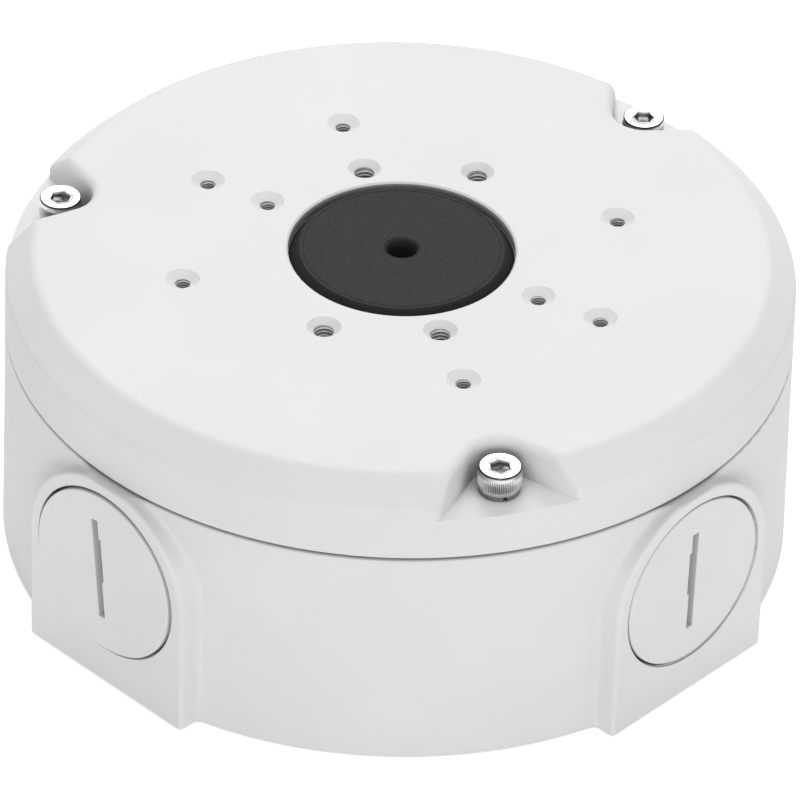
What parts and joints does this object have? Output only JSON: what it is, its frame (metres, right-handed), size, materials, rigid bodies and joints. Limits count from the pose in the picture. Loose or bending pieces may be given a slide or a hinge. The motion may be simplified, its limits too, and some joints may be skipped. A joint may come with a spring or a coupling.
{
  "type": "camera junction box",
  "caption": "Round cast junction box for a surveillance camera, with plugged conduit entries, a gasketed lid with camera fixing holes and a rubber cable grommet.",
  "frame": {"origin": "centre of the round wall face, which is also the centre of the circle of wall fixing holes", "axes": "+Z from the wall towards the lid, +X out of the right-hand conduit entry, -Y out of the front one"},
  "size_m": [0.1368, 0.1359, 0.0548],
  "materials": {
    "cast_body": "fine matt powder coat, white",
    "rubber_black": "matt",
    "rubber_seal": "matt",
    "plug_plastic": "satin, white",
    "bright_steel": "bright, turned and knurled"
  },
  "bodies": {
    "root": {"base_housing": "cast_body", "lid": "cast_body", "lid_gasket": "rubber_seal", "cable_grommet": "rubber_black", "lid_screw_front": "bright_steel", "spring_washer_front": "bright_steel", "lid_screw_rear": "bright_steel", "spring_washer_rear": "bright_steel", "lid_screw_left": "bright_steel", "spring_washer_left": "bright_steel", "conduit_plug_right": "plug_plastic", "plug_seal_right": "rubber_seal", "conduit_plug_front": "plug_plastic", "plug_seal_front": "rubber_seal", "conduit_plug_left": "plug_plastic", "plug_seal_left": "rubber_seal"}
  },
  "joints": []
}
